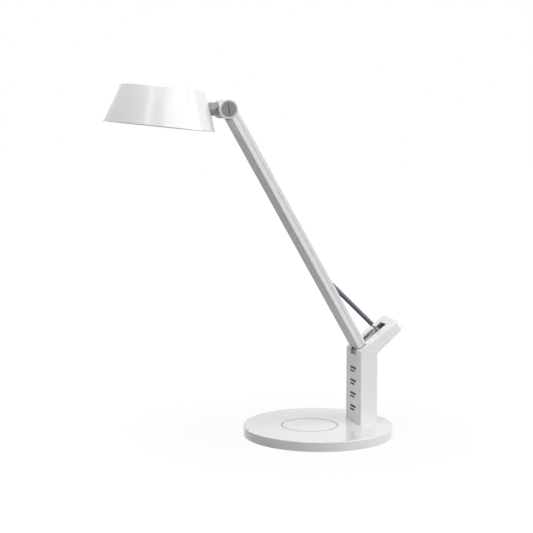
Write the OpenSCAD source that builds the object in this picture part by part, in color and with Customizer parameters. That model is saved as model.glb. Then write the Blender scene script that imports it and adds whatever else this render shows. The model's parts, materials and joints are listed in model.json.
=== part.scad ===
// Desk lamp on a round wireless charging base. The arm leans forward from a slanted column, a telescopic
// strut holds it, and a round tapered shade sits on a knuckle that tilts and turns.
// Millimetres. +Z is up, -Y is the front, and the origin is the centre of the underside.

/* [Base] */
// Diameter of the round base
base_d = 200; // [190:1:230]
// Height of the base's top face above the table
base_h = 13; // [12.5:0.5:18]
// Thickness of the base cover's top and skirt
base_wall = 2.5; // [2:0.1:3]
// Rounding of the base's upper edge
base_round = 1.2; // [0.4:0.1:2]
// Gap between the base cover's lower edge and the table
skirt_gap = 0.3; // [0.2:0.1:0.6]
// Thickness of the foam mat under the base
mat_t = 1.2; // [0.8:0.1:2]
// Thickness of the plate that closes the base
plate_t = 2; // [1.6:0.1:2.4]
// Mean diameter of the ring that marks the charging place
ring_d = 75; // [60:1:80]
// Width of that ring
ring_w = 2; // [1.2:0.1:4]
// Distance of the charging place in front of the base's centre
ring_forward = 12; // [5:1:30]
// Outer diameter of the charging coil
coil_d = 48; // [36:1:54]
// Thickness of the charging coil
coil_t = 1.6; // [1:0.1:2]
// Thickness of the ferrite sheet under the coil
ferrite_t = 0.7; // [0.5:0.1:1]

/* [Column] */
// Width of the column from side to side
col_w = 51; // [48:0.5:56]
// Depth of the column from front to rear
col_depth = 24.2; // [22:0.2:30]
// Distance of the column's middle behind the base's centre
col_back = 62.5; // [54:0.5:66]
// Height of the column's front above the base, where the slanted top starts
shoulder_h = 100; // [94:1:120]
// Slope of the slanted top above the horizontal
top_slope = 36.8; // [30:0.2:44]
// Length of the slanted top
horn_len = 68.3; // [62:0.1:76]
// Height of the rear end face, square to the slanted top
horn_end = 14.6; // [12:0.1:18]
// Slope of the underside behind the column
under_slope = 40.4; // [38:0.2:46]
// Wall of the column shell
col_wall = 2; // [1.6:0.1:2.2]
// Rounding of the slanted top's long edges
top_round = 3.8; // [2:0.1:5]
// Rounding of the slanted top's two rear corners
end_round = 7; // [3:0.5:9]
// Rounding of the edge between the slanted top and the rear end face
tip_round = 5; // [5:0.5:7]
// Rounding of the column's two front edges
front_round = 2; // [1:0.1:2.5]
// Width of the slot for the arm and the strut
slot_w = 20; // [18:0.5:24]
// Length of the slot along the slanted top
slot_len = 54.4; // [50:0.2:58]
// Width of the front panel
panel_w = 46; // [34:0.5:46]
// Distance from the front panel's top to the slot
panel_below = 4; // [3:0.5:8]

/* [Keys] */
// Height of the top key above the base
key_top_h = 74; // [70:0.5:78]
// Distance from key to key
key_pitch = 17.6; // [14:0.2:19]
// Width of a key's bar
key_w = 18.8; // [12:0.2:24]
// Height of a key's bar
key_h = 2.7; // [1.4:0.1:3]
// How far a key's bar stands out of the panel
key_proud = 0.3; // [0.1:0.1:1]
// How far a key goes in
key_travel = 0.5; // [0.2:0.1:0.6]
// Distance of a light window below its key
window_drop = 4.6; // [4:0.1:6]
// Width of a light window
window_w = 14; // [6:0.5:18]
// Height of a light window
window_h = 2.3; // [0.8:0.1:2.6]

/* [Arm] */
// Width of the arm profile
arm_w = 34.6; // [30:0.2:38]
// Thickness of the arm profile
arm_t = 12.2; // [11:0.1:14]
// Wall of the arm profile
arm_wall = 1.6; // [1.2:0.1:2]
// How far the arm's front face lies in front of the line through its two pivots
arm_front = 2.1; // [1.5:0.1:3]
// Distance from the lower to the upper pivot
arm_span = 379; // [300:1:450]
// Lean of the arm forward of the vertical
arm_lean = 30; // [26:0.5:34]
// Distance of the lower pivot below the top of the column's front
pivot_drop = 8; // [7:0.5:9]
// Distance of the lower pivot behind the column's front
pivot_back = 9.6; // [9:0.1:11]
// Gap between the arm's lower end and the column's front corner as the arm swings past it
arm_end_gap = 0.1; // [0.1:0.1:3]
// How much farther up the arm's lower end is at its back than at its front
arm_end_rise = 2.3; // [1.5:0.1:5]
// Width of the groove along the arm's sides
groove_w = 0.9; // [0.5:0.1:2]
// Depth of the groove along the arm's sides
groove_d = 0.5; // [0.2:0.1:0.8]
// Diameter of the lower pivot pin
pivot_pin_d = 6; // [4:0.5:7]
// Width of the tongue that enters the slot
tongue_w = 17.6; // [14:0.2:17.6]

/* [Strut] */
// Outer diameter of the strut tube
tube_d = 6.3; // [5.5:0.1:7]
// Wall of the strut tube
tube_wall = 0.55; // [0.5:0.05:1]
// Wall of the guide bush between the strut tube and the rod
gland_wall = 0.35; // [0.3:0.05:1]
// Distance from the lower pivot to the strut's upper pin, along the arm
strut_up = 133; // [125:1:150]
// Distance of the strut's lower pin behind the column's front, along the slanted top
strut_along = 43; // [42:0.5:44]
// Depth of the strut's lower pin below the slanted top
strut_depth = 6.6; // [6.4:0.1:6.8]
// Bare rod between the strut's lower pin and the tube
rod_bare = 16.5; // [14:0.5:20]
// Free play of the rod's eye round its pin
eye_play = 2.1; // [1.9:0.05:2.2]

/* [Head] */
// Diameter of the fork's round cheeks
cheek_d = 24; // [22:0.5:26]
// Diameter of the caps in the cheeks
cap_d = 20; // [16:0.5:20]
// Diameter of the knuckle
knuckle_d = 23; // [20:0.5:23]
// Distance from the tilt axis to the knuckle's front end
knuckle_nose = 10; // [9.5:0.1:11]
// Diameter of the neck
neck_d = 17; // [15:0.5:18]
// Height of the tapered shade
shade_h = 48.7; // [42:0.5:60]
// Diameter of the shade's top
shade_top_d = 111.2; // [100:0.2:120]
// Diameter of the shade's rim
shade_rim_d = 146.8; // [140:0.2:170]
// Wall of the shade
shade_wall = 2; // [1.6:0.1:3]
// Upward pitch of the shade's front
shade_pitch = 6; // [0:0.5:8]
// Distance from the tilt axis forward to the centre of the shade's rim
shade_reach = 88.4; // [84:0.1:100]
// Distance from the tilt axis down to the centre of the shade's rim
shade_drop = 21.4; // [18:0.1:24]
// Depth of the diffuser inside the rim
diffuser_in = 14; // [11:0.5:14]
// Number of light chips
chip_count = 24; // [12:1:32]

/* [Hidden] */
$fn = 96;
fit = 0.3;       // free play between pieces that don't touch
run = 0.05;      // radial running fit of a shaft in its bore
cut = 1;         // how far a cutter reaches past what it cuts
white = [0.93, 0.93, 0.93];
silver = [0.80, 0.80, 0.81];
steel = [0.55, 0.56, 0.58];
grey = [0.45, 0.45, 0.46];
dark = [0.20, 0.24, 0.27];
board = [0.13, 0.35, 0.22];

// Base, from the table up
plate_z = mat_t;
ballast_z = plate_z + plate_t;
coil_z = base_h - base_wall - coil_t;
ferrite_z = coil_z - ferrite_t;
ballast_t = ferrite_z - ballast_z;
base_r = base_d / 2;
skirt_r = base_r - base_wall;
mat_r = skirt_r - 5.5;
boss_r = 3.5;
boss_ring = skirt_r - 11.5;
boss_turns = [45, 135, 225, 315];
inlet_z = ballast_z + ballast_t / 2 + 1;
inlet_body = [10, 13, 6.8];
inlet_r = 2.8;
inlet_nose_r = 3.5;
board_size = [40, 28, 1.6];
board_at = [-45, 30];

// Column, measured from the base's top face
pivot_h = shoulder_h - pivot_drop;
notch_h = pivot_h;
panel_h = notch_h - panel_below;
front_y = col_back - col_depth / 2;
rear_y = col_back + col_depth / 2;
along = [cos(top_slope), sin(top_slope)];
out = [-sin(top_slope), cos(top_slope)];
shoulder = [front_y, shoulder_h];
horn_tip = shoulder + along * horn_len;
horn_low = horn_tip - out * horn_end;
bend = [rear_y, horn_low[1] - (horn_low[0] - rear_y) * tan(under_slope)];
column_pts = [[front_y, 0], shoulder, horn_tip, horn_low, bend, [rear_y, 0]];
column_rounds = [0, 5, tip_round, 2.5, 3, 0];
panel_gap = 0.1;
column_boss_x = 17.5;
column_boss_r = 3;
column_boss_h = 12;
rib_t = 2;
control_y = 5.7;   // from the column's front to the control board
control_t = 1.2;
control_x = [-13, 13];
control_z = [12, panel_h - 7];
post_r = 2.2;
key_gap = 0.15;
window_x = (window_w - key_w) / 2;
window_gap = 0.1;

// Hinge frame inside the column
frame_t = 2;
frame_in = slot_w / 2 + 0.2;
frame_out = frame_in + frame_t;
frame_front = col_back - 2.5;
frame_back = rear_y - col_wall - 1.6;
frame_foot_z = ferrite_z - base_h;
frame_top_z = notch_h - 8;
foot_t = 2;
bolt_r = 2;
bolt_x = 6;
bolt_y = [frame_front + 1.5, frame_back - 2];

// Lower pivot and the arm's own frame: y runs to the arm's back, z along the arm
pivot_y = front_y + pivot_back;
pivot_z = base_h + pivot_h;
pin_r = pivot_pin_d / 2;
arm_back = arm_t - arm_front;
arm_mid = arm_back - arm_t / 2;
bore_front = -arm_front + arm_wall;
bore_back = arm_back - arm_wall;
bore_w = arm_w - 2 * arm_wall;
plug_gap = 0.15;
groove_at = -arm_front + 0.55 * arm_t;
eye_r = 6.5;
bush_r = pin_r + 1.5;
cable_r = 1.5;
cable_x = bore_w / 2 - 3.1;
arm_start_front = norm([pivot_back, pivot_drop]) + arm_end_gap;
arm_start_back = arm_start_front + arm_end_rise;
screw_r = 1.25;
tongue_screw = 24;
anchor_screw = strut_up + 8;
fork_screw = arm_span - 30;
fork_len = 40;

// Strut: its two pins, and its length at rest
strut_pin_r = 1.2;
arm_dir = [-sin(arm_lean), cos(arm_lean)];
arm_out = [cos(arm_lean), sin(arm_lean)];
low_pin = shoulder + along * strut_along - out * strut_depth;
high_pin = [pivot_y, pivot_h] + arm_dir * strut_up + arm_out * arm_mid;
strut_len = norm(low_pin - high_pin);
strut_turn = atan2(high_pin[0] - low_pin[0], low_pin[1] - high_pin[1]);
strut_splay = acos((high_pin - low_pin) * arm_dir / strut_len);
strut_swing = 4.3;   // degrees by which the strut closes on the arm as the arm comes down
tube_r = tube_d / 2;
slot_low = strut_up - (arm_back - arm_mid + tube_r) / tan(strut_splay - strut_swing);
slot_high = strut_up - 1.5;
rod_r = tube_r - tube_wall - gland_wall - run;
tube_end = strut_len - rod_bare;
tube_eye_r = bore_back - arm_mid - fit;
tube_eye_w = 9;
anchor_w = 19;
rod_eye_hole = strut_pin_r + eye_play;
rod_eye_r = rod_eye_hole + 1.3;
rod_eye_w = 6;
rod_start = 60;
gland_len = 7;

// Upper pivot
cheek_in = knuckle_d / 2 + 0.5;
cheek_t = 6;
cheek_out = cheek_in + cheek_t;
cheek_r = cheek_d / 2;
knuckle_r = knuckle_d / 2;
hub_r = knuckle_r - 0.2;
cap_t = 1.6;
coin_slot = [2, 15, 1.1];
coin_turn = 8;
tilt_r = 2.5;
head_y = pivot_y - arm_span * sin(arm_lean);
head_z = pivot_z + arm_span * cos(arm_lean);

// Head, measured from the tilt axis; the shade's own frame has its rim at z = 0
neck_r = neck_d / 2;
spigot_r = 6;
shade_top_r = shade_top_d / 2;
shade_rim_r = shade_rim_d / 2;
taper = (shade_rim_r - shade_top_r) / shade_h;
entry_z = (shade_drop + shade_rim_r * sin(shade_pitch)) / (cos(shade_pitch) + taper * sin(shade_pitch));
entry_r = shade_rim_r - taper * entry_z;
gasket_t = 2.6;
gasket_y = -shade_reach + entry_r * cos(shade_pitch) + entry_z * sin(shade_pitch) + gasket_t;
diffuser_t = 2;
diffuser_r = shade_in(diffuser_in + diffuser_t) - 0.4;
chips_z = diffuser_in + diffuser_t + 5;
chip_t = 1;
led_board_z = chips_z + chip_t;
led_board_t = 1.5;
sink_z = led_board_z + led_board_t;
sink_t = 3;
core_r = entry_r - shade_wall - 4.5;
tongue_z = sink_z + sink_t;
tongue_t = 4;
tongue_screws = [31, 42];
shade_posts = [30, 150, 270];
shade_post_at = 36;
post_bite = 7;

// Inside radius of the shade at height z above its rim
function shade_in(z) = shade_rim_r - taper * z - shade_wall;

// Point on an outline moved inwards by d from both of its edges; outlines here run clockwise
function unit(v) = v / norm(v);
function inward(v) = [v[1], -v[0]];
function inset_point(a, p, b, d) =
    let (u = unit(p - a), v = unit(b - p), m = inward(u) + inward(v))
    p + m * d / (1 + u * v);
function inset(pts, d) =
    let (n = len(pts))
    [for (i = [0:n - 1]) inset_point(pts[(i + n - 1) % n], pts[i], pts[(i + 1) % n], d)];

// Corner rounding: how far the two tangent points lie from the corner
function turn_of(a, p, b) = let (u = unit(p - a), v = unit(b - p)) u[0] * v[1] - u[1] * v[0];
function tangent_len(a, p, b, r) =
    let (u = unit(p - a), v = unit(b - p))
    r * sqrt((1 - u * v) / (1 + u * v));
function corner_cut(a, p, b, r) =
    r == 0 ? [p] : let (t = tangent_len(a, p, b, r)) [p - unit(p - a) * t, p + unit(b - p) * t];
function corner_centre(a, p, b, r) =
    inset_point(a, p, b, turn_of(a, p, b) < 0 ? r : -r);

// ---------------------------------------------------------------- shared shapes

// Outline with each corner rounded by its own radius
module rounded_outline(pts, rounds) {
    n = len(pts);
    difference() {
        union() {
            polygon([for (i = [0:n - 1])
                each corner_cut(pts[(i + n - 1) % n], pts[i], pts[(i + 1) % n], rounds[i])]);
            for (i = [0:n - 1])
                if (rounds[i] > 0 && turn_of(pts[(i + n - 1) % n], pts[i], pts[(i + 1) % n]) < 0)
                    translate(corner_centre(pts[(i + n - 1) % n], pts[i], pts[(i + 1) % n], rounds[i]))
                        circle(r = rounds[i]);
        }
        for (i = [0:n - 1])
            if (rounds[i] > 0 && turn_of(pts[(i + n - 1) % n], pts[i], pts[(i + 1) % n]) > 0)
                translate(corner_centre(pts[(i + n - 1) % n], pts[i], pts[(i + 1) % n], rounds[i]))
                    circle(r = rounds[i]);
    }
}

// Rectangle with its centre at the origin and four round corners
module round_rect(w, h, r) {
    square([w - 2 * r, h], center = true);
    square([w, h - 2 * r], center = true);
    for (x = [r - w / 2, w / 2 - r], y = [r - h / 2, h / 2 - r])
        translate([x, y]) circle(r = r);
}

// Side outline (Y to the right, Z up) made w wide across X
module across(w) {
    rotate([90, 0, 90]) linear_extrude(w, center = true) children();
}

// The same from x = a to x = b, and mirrored to the other side
module both_sides(a, b) {
    for (side = [-1, 1])
        translate([side * (a + b) / 2, 0, 0]) across(b - a) children();
}

// Straight pin or bore along X with its centre at y, z
module pin_x(r, w, y = 0, z = 0, x = 0) {
    translate([x, y, z]) rotate([0, 90, 0]) cylinder(r = r, h = w, center = true);
}

// Cylinder along Y from y = a to y = b
module rod_y(r, a, b, x = 0, z = 0) {
    translate([x, b, z]) rotate([90, 0, 0]) cylinder(r = r, h = b - a);
}

// Box given by its middle in x, and its low and high y and z
module block(w, y0, y1, z0, z1, x = 0) {
    translate([x - w / 2, y0, z0]) cube([w, y1 - y0, z1 - z0]);
}

module on_base() {
    translate([0, 0, base_h]) children();
}

module in_arm() {
    translate([0, pivot_y, pivot_z]) rotate([arm_lean, 0, 0]) children();
}

// Strut frame: origin on the upper pin, z along the strut towards the lower pin
module in_strut() {
    translate([0, high_pin[0], base_h + high_pin[1]]) rotate([strut_turn, 0, 0]) children();
}

module in_head() {
    translate([0, head_y, head_z]) children();
}

module in_shade() {
    in_head() translate([0, -shade_reach, -shade_drop]) rotate([-shade_pitch, 0, 0]) children();
}

// ---------------------------------------------------------------- base

module base_outline() {
    arc = [for (a = [0:15:90])
        [base_r - base_round * (1 - sin(a)), base_h - base_round * (1 - cos(a))]];
    polygon(concat([[0, base_h - base_wall], [0, base_h]], arc,
                   [[base_r, skirt_gap], [skirt_r, skirt_gap], [skirt_r, base_h - base_wall]]));
}

module base_cover() {
    color(white) difference() {
        union() {
            rotate_extrude($fn = 180) base_outline();
            for (a = boss_turns)
                rotate(a) translate([boss_ring, 0, ballast_z])
                    cylinder(r = boss_r, h = base_h - base_wall - ballast_z + 0.5);
        }
        // groove for the ring of the charging place
        translate([0, -ring_forward, base_h - 0.8]) difference() {
            cylinder(d = ring_d + ring_w, h = cut + 0.8);
            translate([0, 0, -cut]) cylinder(d = ring_d - ring_w, h = 3 * cut + 0.8);
        }
        // way up into the column for the hinge frame and the wires
        block(2 * frame_out + 1.6, frame_front - 2, frame_back + 1, base_h - base_wall - cut, base_h + cut);
        for (side = [-1, 1])
            translate([side * column_boss_x, col_back, base_h - base_wall - cut])
                cylinder(r = 1.7, h = base_wall + 2 * cut);
        for (a = boss_turns)
            rotate(a) translate([boss_ring, 0, ballast_z - cut]) cylinder(r = screw_r, h = cut + 5);
        rod_y(inlet_nose_r + 0.1, skirt_r - cut, base_r + cut, z = inlet_z);
    }
}

module charging_ring() {
    color(grey) translate([0, -ring_forward, base_h - 0.8]) difference() {
        cylinder(d = ring_d + ring_w, h = 1);
        translate([0, 0, -cut]) cylinder(d = ring_d - ring_w, h = 1 + 2 * cut);
    }
}

module charging_coil() {
    color("peru") translate([0, -ring_forward, coil_z]) difference() {
        cylinder(d = coil_d, h = coil_t);
        translate([0, 0, -cut]) cylinder(d = coil_d * 0.42, h = coil_t + 2 * cut);
    }
}

module coil_ferrite() {
    color(dark) translate([0, -ring_forward, ferrite_z]) cylinder(d = coil_d + 4, h = ferrite_t);
}

module charger_board() {
    color(board) translate([board_at[0], board_at[1], ballast_z + 1]) {
        translate([-board_size[0] / 2, -board_size[1] / 2, 0]) cube(board_size);
        translate([-14, -8, board_size[2]]) cube([10, 10, 2.2]);
        translate([3, -9, board_size[2]]) cube([7, 7, 1.2]);
        translate([4, 3, board_size[2]]) cube([9, 6, 1.8]);
    }
}

module ballast_disc() {
    color(steel) difference() {
        translate([0, 0, ballast_z]) cylinder(r = skirt_r - 3, h = ballast_t, $fn = 180);
        for (a = boss_turns)
            rotate(a) translate([boss_ring, 0, ballast_z - cut])
                cylinder(r = boss_r + fit, h = ballast_t + 2 * cut);
        translate([board_at[0], board_at[1], ballast_z])
            cube([board_size[0] + 4, board_size[1] + 4, 3 * ballast_t], center = true);
        block(inlet_body[0] + 2, skirt_r - inlet_body[1] - 2, skirt_r + cut, ballast_z - cut, ferrite_z + cut);
        for (x = [-bolt_x, bolt_x], y = bolt_y) {
            translate([x, y, ballast_z - cut]) cylinder(r = bolt_r + 0.1, h = ballast_t + 2 * cut);
            translate([x, y, ballast_z - cut]) cylinder(r = 3.7, h = cut + 2.4);
        }
    }
}

module base_plate() {
    color(dark) difference() {
        union() {
            translate([0, 0, plate_z]) cylinder(r = skirt_r - fit, h = plate_t, $fn = 180);
            for (x = [-17, 17], y = [-11, 11])
                translate([board_at[0] + x, board_at[1] + y, plate_z]) cylinder(r = 1.5, h = plate_t + 1);
        }
        for (a = boss_turns) rotate(a) translate([boss_ring, 0, plate_z]) {
            translate([0, 0, -cut]) cylinder(r = 1.7, h = plate_t + 2 * cut);
            translate([0, 0, -cut]) cylinder(r = 2.9, h = cut + 1.2);
        }
    }
}

module foot_mat() {
    color([0.1, 0.1, 0.1]) cylinder(r = mat_r, h = mat_t, $fn = 180);
}

module power_inlet() {
    mouth = base_r - 0.4;
    color(dark) {
        difference() {
            union() {
                block(inlet_body[0], skirt_r - 0.5 - inlet_body[1], skirt_r - 0.5,
                      inlet_z - inlet_body[2] / 2, inlet_z + inlet_body[2] / 2);
                rod_y(inlet_nose_r, skirt_r - 1, mouth, z = inlet_z);
            }
            rod_y(inlet_r, mouth - 11, mouth + cut, z = inlet_z);
        }
        rod_y(1, mouth - 11.5, mouth - 1, z = inlet_z);
    }
}

module base_screws() {
    color(steel) for (a = boss_turns) rotate(a) translate([boss_ring, 0, plate_z]) {
        cylinder(r = 2.6, h = 1.2);
        cylinder(r = screw_r, h = plate_t + 4.5);
    }
}

// ---------------------------------------------------------------- column

// Solid between the column's outer faces, drawn in by d on every side but its open foot, which lies at low
module column_solid(d, low) {
    inner = inset(column_pts, d);
    pts = [for (p = inner) p[1] < shoulder_h / 3 ? [p[0], low] : p];
    rounds = [for (r = column_rounds) r == 0 ? 0 : max(r - d, 0.4)];
    top_r = max(top_round - d, 0.5);
    front_r = max(front_round - d, 0.5);
    end_r = max(end_round - d, 0.5);
    w = col_w - 2 * d;
    reach = 2 * shoulder_h + horn_len;
    intersection() {
        across(w) rounded_outline(pts, rounds);
        // round front edges, seen from above
        translate([0, front_y + d + reach / 2, 2 * low - cut]) linear_extrude(reach) round_rect(w, reach, front_r);
        // round long edges, seen along the slanted top
        translate([0, front_y, shoulder_h]) rotate([top_slope - 90, 0, 0])
            translate([0, d + reach / 2, 0])
                linear_extrude(2 * reach, center = true) round_rect(w, reach, top_r);
        // round corners of the rear end, seen square to the slanted top
        translate([0, front_y, shoulder_h]) rotate([top_slope, 0, 0])
            translate([0, horn_len - d - reach / 2, 0])
                linear_extrude(3 * reach, center = true) round_rect(w, reach, end_r);
    }
}

module slot_cut() {
    slot_end = shoulder + along * slot_len;
    across(slot_w) polygon([
        [front_y - cut, notch_h],
        [front_y - cut, shoulder_h + 8],
        shoulder + out * 8,
        slot_end + out * 8,
        slot_end - out * (col_wall + 1),
        [front_y + 10, notch_h]
    ]);
}

module column_shell() {
    color(white) on_base() {
        difference() {
            column_solid(0, 0);
            column_solid(col_wall, -cut);
            // window for the front panel
            block(panel_w, front_y - cut, front_y + col_wall + 0.5, -cut, panel_h);
            slot_cut();
        }
        for (side = [-1, 1]) difference() {
            union() {
                translate([side * column_boss_x, col_back, 0]) cylinder(r = column_boss_r, h = column_boss_h);
                block(col_w / 2 - col_wall - column_boss_x + 0.5, col_back - rib_t / 2, col_back + rib_t / 2,
                      0, column_boss_h, side * (col_w / 2 - col_wall + 0.5 + column_boss_x) / 2);
            }
            translate([side * column_boss_x, col_back, -cut]) cylinder(r = screw_r, h = column_boss_h - 1);
        }
    }
}

function key_z(i) = key_top_h - i * key_pitch;

module column_front() {
    color(white) on_base() difference() {
        union() {
            block(panel_w - 2 * panel_gap, front_y, front_y + col_wall, 0.2, panel_h - panel_gap);
            for (x = control_x, z = control_z)
                rod_y(post_r, front_y + col_wall - 0.5, front_y + control_y, x, z);
        }
        for (i = [0:3]) {
            panel_hole(key_w + 2 * key_gap, key_h + 2 * key_gap, key_z(i));
            panel_hole(window_w + 2 * window_gap, window_h + 2 * window_gap, key_z(i) - window_drop, window_x);
        }
        for (x = control_x, z = control_z)
            rod_y(0.9, front_y + col_wall + 0.5, front_y + control_y + cut, x, z);
    }
}

module panel_hole(w, h, z, x = 0) {
    block(w, front_y - cut, front_y + col_wall + cut, z - h / 2, z + h / 2, x);
}

module column_screws() {
    color(steel) for (side = [-1, 1]) translate([side * column_boss_x, col_back, base_h - base_wall]) {
        translate([0, 0, -1.6]) cylinder(r = 2.8, h = 1.6);
        translate([0, 0, -1]) cylinder(r = screw_r, h = base_wall + 10);
    }
}

module hinge_frame() {
    color(steel) on_base() difference() {
        union() {
            both_sides(frame_in, frame_out) {
                translate([frame_front, frame_foot_z])
                    square([frame_back - frame_front, frame_top_z - frame_foot_z]);
                translate([pivot_y, pivot_h]) circle(r = eye_r + 0.6);
                // web up to the strut's pin, along the column's underside
                polygon([[frame_front, frame_top_z - 1], [pivot_y - eye_r, pivot_h - 1],
                         [pivot_y + 2, pivot_h + eye_r], low_pin + [-3.5, 2.5], low_pin + [2.5, -3.5],
                         [frame_back, bend[1] + 2], [frame_back, frame_top_z - 1]]);
                translate(low_pin) circle(r = 4.2);
            }
            block(2 * frame_out, frame_front - 1, frame_back + 0.5, frame_foot_z, frame_foot_z + foot_t);
        }
        pin_x(pin_r + 0.02, 3 * frame_out, pivot_y, pivot_h);
        pin_x(strut_pin_r + 0.02, 3 * frame_out, low_pin[0], low_pin[1]);
        for (x = [-bolt_x, bolt_x], y = bolt_y)
            translate([x, y, frame_foot_z - cut]) cylinder(r = bolt_r, h = foot_t + 2 * cut);
    }
}

module frame_bolts() {
    color(steel) for (x = [-bolt_x, bolt_x], y = bolt_y) translate([x, y, ballast_z]) {
        cylinder(r = 3.5, h = 2.4);
        cylinder(r = bolt_r, h = ballast_t + foot_t);
    }
}

module control_board() {
    color(board) on_base() difference() {
        block(control_x[1] - control_x[0] + 5, front_y + control_y, front_y + control_y + control_t,
              control_z[0] - 3.5, control_z[1] + 3.5);
        for (x = control_x, z = control_z)
            rod_y(1.1, front_y, front_y + 2 * control_y, x, z);
    }
}

module board_screws() {
    color(steel) on_base() for (x = control_x, z = control_z) {
        rod_y(1.8, front_y + control_y + control_t, front_y + control_y + 2 * control_t, x, z);
        rod_y(0.9, front_y + 3, front_y + control_y + 2, x, z);
    }
}

module key_switches() {
    plunger = front_y + col_wall + 1 + key_travel + 0.2;
    color(dark) on_base() for (i = [0:3]) {
        block(5, plunger + 0.4, front_y + control_y, key_z(i) - 1.8, key_z(i) + 1.8);
        rod_y(1, plunger, front_y + control_y, 0, key_z(i));
    }
}

module light_windows() {
    color([0.3, 0.27, 0.27]) on_base() for (i = [0:3]) {
        z = key_z(i) - window_drop;
        block(window_w, front_y, front_y + col_wall + 0.5, z - window_h / 2, z + window_h / 2, window_x);
        block(window_w + 1.5, front_y + col_wall, front_y + col_wall + 1,
              z - window_h / 2 - 0.6, z + window_h / 2 + 0.6, window_x);
        block(6, front_y + col_wall, front_y + control_y, z - window_h / 2, z + window_h / 2, window_x);
    }
}

module key(i) {
    back = front_y + col_wall;
    color(dark) on_base() {
        block(key_w, front_y - key_proud, back + 0.5, key_z(i) - key_h / 2, key_z(i) + key_h / 2);
        block(key_w + 2, back, back + 1, key_z(i) - key_h / 2 - 1, key_z(i) + key_h / 2 + 1);
    }
}

module power_key() { key(0); }
module mode_key() { key(1); }
module brighter_key() { key(2); }
module dimmer_key() { key(3); }

module arm_pivot_pin() {
    color(silver) on_base() {
        pin_x(pin_r, 2 * frame_out + 2.5, pivot_y, pivot_h);
        pin_x(pin_r + 1.5, 1.5, pivot_y, pivot_h, frame_out + 0.75);
    }
}

module arm_pivot_nut() {
    color(steel) on_base() difference() {
        pin_x(pin_r + 2, 2.4, pivot_y, pivot_h, -frame_out - 1.2);
        pin_x(pin_r + 0.01, 10, pivot_y, pivot_h, -frame_out);
    }
}

module friction_discs() {
    color(dark) on_base() difference() {
        both_sides(tongue_w / 2, frame_in) translate([pivot_y, pivot_h]) circle(r = eye_r - 0.5);
        pin_x(pin_r + run, 3 * frame_out, pivot_y, pivot_h);
    }
}

module strut_lower_pin() {
    color(silver) on_base() {
        pin_x(strut_pin_r, 2 * frame_out + 2, low_pin[0], low_pin[1]);
        for (side = [-1, 1]) pin_x(2, 0.8, low_pin[0], low_pin[1], side * (frame_out + 0.4));
    }
}

module strut_spacers() {
    color(silver) on_base() difference() {
        both_sides(rod_eye_w / 2 + 0.2, frame_in) translate(low_pin) circle(r = 2.4);
        pin_x(strut_pin_r + 0.02, 3 * frame_out, low_pin[0], low_pin[1]);
    }
}

// ---------------------------------------------------------------- arm

// Section of the hollow profile: X across, Y to the arm's back
module arm_section() {
    difference() {
        translate([0, arm_mid]) round_rect(arm_w, arm_t, 0.8);
        translate([0, (bore_front + bore_back) / 2]) round_rect(bore_w, bore_back - bore_front, 0.4);
        for (side = [-1, 1])
            translate([side * arm_w / 2, groove_at]) square([2 * groove_d, groove_w], center = true);
    }
}

// Space below the arm's slanted lower end, for the profile and for what closes it
module below_arm_end(raise) {
    reach = arm_w;
    rise = reach * arm_end_rise / arm_t;
    across(2 * arm_w) polygon([
        [-arm_front - reach, arm_start_front + raise - rise],
        [arm_back + reach, arm_start_back + raise + rise],
        [arm_back + reach, -2 * reach],
        [-arm_front - reach, -2 * reach]
    ]);
}

module arm_profile() {
    color(white) in_arm() difference() {
        linear_extrude(arm_span) arm_section();
        below_arm_end(0);
        // round seat for the fork's cheeks, and relief for the knuckle between them
        pin_x(cheek_r + fit, 2 * arm_w, 0, arm_span);
        pin_x(cheek_r + 2.3, 2 * cheek_in + 1, 0, arm_span);
        block(2 * arm_w, -40, 40, arm_span - 2, arm_span + 40);
        // slot in the arm's back for the strut
        block(tube_d + 2, bore_back - 0.5, arm_back + cut, slot_low, slot_high);
        for (z = [tongue_screw, anchor_screw, fork_screw])
            translate([0, 0, z]) rod_y(1.6, bore_back - 0.5, arm_back + cut);
    }
}

// Block that fills the profile's bore over a stretch of its length
module bore_plug(z0, z1) {
    block(bore_w - 2 * plug_gap, bore_front + plug_gap, bore_back - plug_gap, z0, z1);
}

module arm_tongue() {
    color(grey) in_arm() difference() {
        union() {
            difference() {
                bore_plug(0, tongue_screw + 12);
                below_arm_end(fit);
            }
            pin_x(eye_r, tongue_w);
            block(tongue_w, bore_front + plug_gap, bore_back - plug_gap, 0, tongue_screw - 4);
        }
        pin_x(bush_r, tongue_w + 2 * cut);
        translate([cable_x, arm_mid, -cut]) cylinder(r = cable_r + fit, h = 2 * tongue_screw);
        translate([0, 0, tongue_screw]) rod_y(screw_r, 0, arm_back);
    }
}

module pivot_bush() {
    color("ivory") in_arm() difference() {
        pin_x(bush_r, tongue_w);
        pin_x(pin_r + run, tongue_w + 2 * cut);
    }
}

module arm_fork() {
    color(silver) in_arm() difference() {
        union() {
            bore_plug(arm_span - fork_len, arm_span - cheek_r - 3.3);
            for (side = [-1, 1]) {
                pin_x(cheek_r, cheek_t, 0, arm_span, side * (cheek_in + cheek_out) / 2);
                block(bore_w / 2 - plug_gap - cheek_in, bore_front + plug_gap, bore_back - plug_gap,
                      arm_span - fork_len / 2, arm_span, side * (bore_w / 2 - plug_gap + cheek_in) / 2);
            }
        }
        for (side = [-1, 1]) pin_x(cap_d / 2 + 0.1, 2 * cap_t, 0, arm_span, side * cheek_out);
        pin_x(tilt_r + 0.05, 3 * cheek_out, 0, arm_span);
        translate([cable_x, arm_mid, arm_span - 2 * fork_len])
            cylinder(r = cable_r + fit, h = 2 * fork_len - cheek_r + 4);
        translate([0, 0, fork_screw]) rod_y(screw_r, 0, arm_back);
    }
}

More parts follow.
